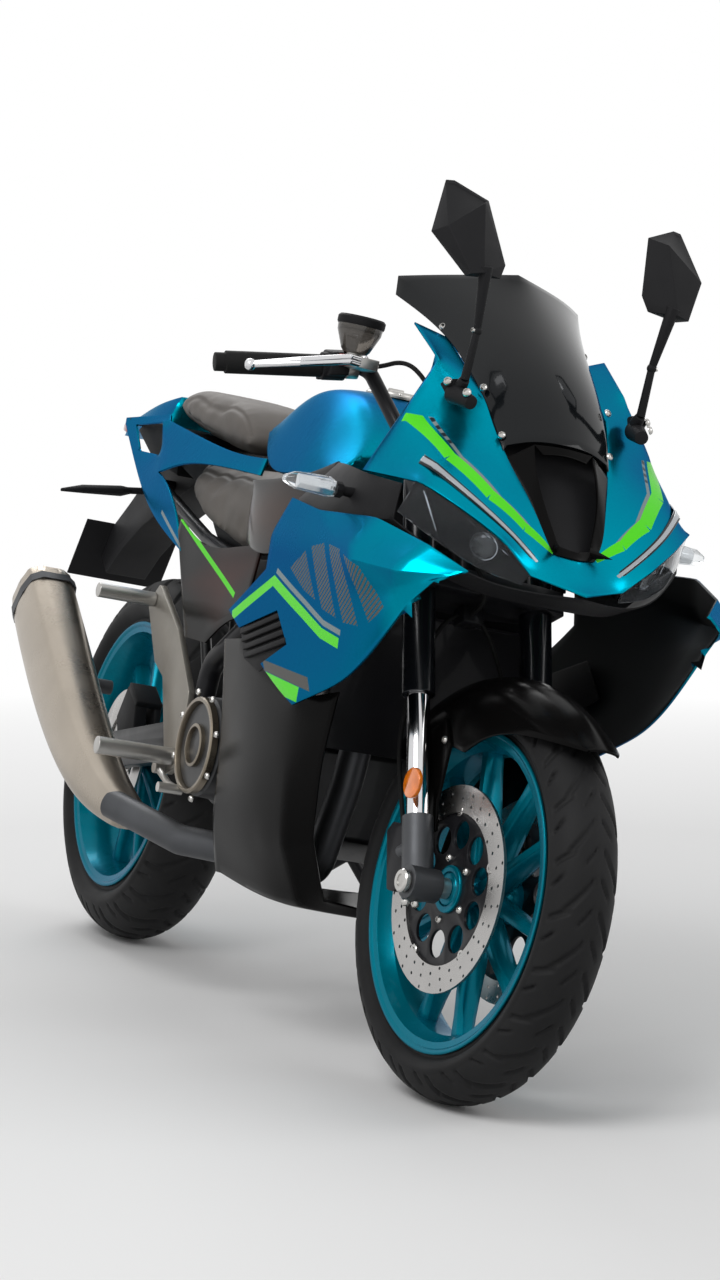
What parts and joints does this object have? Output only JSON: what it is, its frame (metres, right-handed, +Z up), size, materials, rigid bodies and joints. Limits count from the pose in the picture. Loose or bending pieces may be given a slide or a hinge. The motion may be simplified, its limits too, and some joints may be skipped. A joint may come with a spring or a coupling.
{
  "type": "sport motorcycle",
  "caption": "Faired sport motorcycle leaning on its side stand, with turning wheels, steering fork and folding stand.",
  "frame": {"origin": "floor point below the middle of the whole machine's box", "axes": "+Z up, the machine faces -Y, +X is the rider's left, where it leans on its stand"},
  "size_m": [0.7652, 2.0964, 1.2918],
  "materials": {
    "alloy": "satin",
    "amber": "gloss",
    "black_gloss": "gloss",
    "black_matte": "matt",
    "black_metal": "satin",
    "cast": "satin",
    "chrome": "polished",
    "clear": "gloss",
    "painted": "metallic gloss",
    "rubber": "matt",
    "seat": "matt",
    "smoked": "gloss",
    "steel": "brushed",
    "teal_metal": "gloss",
    "tyre": "matt"
  },
  "bodies": {
    "root": {"belly_fairing": "black_gloss", "chain": "steel", "cockpit": "black_matte", "engine_block": "cast", "engine_covers": "cast", "exhaust_pipe": "cast", "foot_pegs": "alloy", "front_indicators": "clear", "fuel_tank": "painted", "headlights": "smoked", "main_frame": "black_metal", "mirrors": "black_matte", "muffler": "steel", "nose_cowl": "painted", "nose_trim": "black_gloss", "peg_brackets": "alloy", "pillion_seat": "seat", "plate_holder": "black_matte", "radiator": "black_metal", "rear_axle": "alloy", "rear_indicators": "black_matte", "rear_shock": "black_metal", "rider_seat": "seat", "seat_side_panels": "black_gloss", "side_fairings": "painted", "swingarm": "black_metal", "tail_cowl": "painted", "tank_covers": "black_gloss", "windscreen": "smoked"},
    "fork": {"fork_outer_tubes": "black_metal", "fork_stanchions": "chrome", "fork_feet": "cast", "fork_yokes": "black_metal", "handlebars": "black_metal", "grips": "rubber", "switchgear": "black_matte", "hand_levers": "alloy", "front_fender": "black_gloss", "front_calipers": "black_metal", "fork_reflectors": "amber", "front_axle": "alloy"},
    "front_wheel": {"front_tyre": "tyre", "front_rim": "teal_metal", "front_discs": "steel", "front_disc_carriers": "black_metal"},
    "rear_wheel": {"rear_tyre": "tyre", "rear_rim": "teal_metal", "rear_disc": "steel", "rear_sprocket": "steel"},
    "stand": {"side_stand": "black_metal"}
  },
  "joints": [
    {"name": "steering", "type": "hinge", "parent": "root", "child": "fork", "pos_m": [-0.0302, -0.55612, 0.62438], "axis": [0.1799, 0.4136, 0.8925], "range_deg": [-33.7, 22.3]},
    {"name": "front_wheel_spin", "type": "hinge", "parent": "fork", "child": "front_wheel", "pos_m": [-0.09356, -0.75125, 0.29105], "axis": [-0.9673, -0.0907, 0.2369], "continuous": true},
    {"name": "rear_wheel_spin", "type": "hinge", "parent": "root", "child": "rear_wheel", "pos_m": [-0.09344, 0.62856, 0.31211], "axis": [-0.9803, -0.0002, 0.1977], "continuous": true},
    {"name": "stand_fold", "type": "hinge", "parent": "root", "child": "stand", "pos_m": [0.029, 0.03865, 0.23062], "axis": [0.8846, -0.0979, 0.4559], "range_deg": [0, 105.2]}
  ]
}
